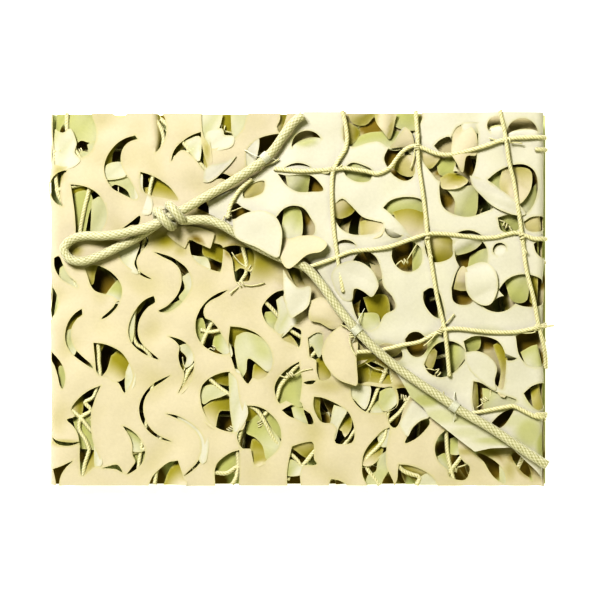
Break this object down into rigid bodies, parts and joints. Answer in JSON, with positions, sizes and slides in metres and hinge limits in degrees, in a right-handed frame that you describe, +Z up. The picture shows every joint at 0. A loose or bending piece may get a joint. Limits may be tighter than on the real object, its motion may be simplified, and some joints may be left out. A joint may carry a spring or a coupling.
{
  "type": "camouflage netting",
  "caption": "Folded cut length of slit-cloth camouflage netting on knotted cord mesh, its roped corner turned over on top and looped.",
  "frame": {"origin": "middle of the underside of the folded netting, on the surface that it lies on", "axes": "+X from the left fold to the right fold, +Y along the folds, +Z up through the layers"},
  "size_m": [0.45, 0.3365, 0.0483],
  "materials": {
    "scrim": "matt coated cloth, sand face and paler back",
    "net_cord": "laid cord, matt",
    "rope": "braided, soft sheen",
    "twine": "white waxed twine"
  },
  "bodies": {
    "root": {"scrim_base": "scrim", "scrim_left_fold_first": "scrim", "scrim_left_fold_second": "scrim", "scrim_middle": "scrim", "scrim_right_fold_first": "scrim", "scrim_right_fold_second": "scrim", "scrim_corner": "scrim", "net_cords": "net_cord", "border_rope": "rope", "seizing_upper": "twine", "seizing_middle": "twine", "seizing_lower": "twine"}
  },
  "joints": []
}
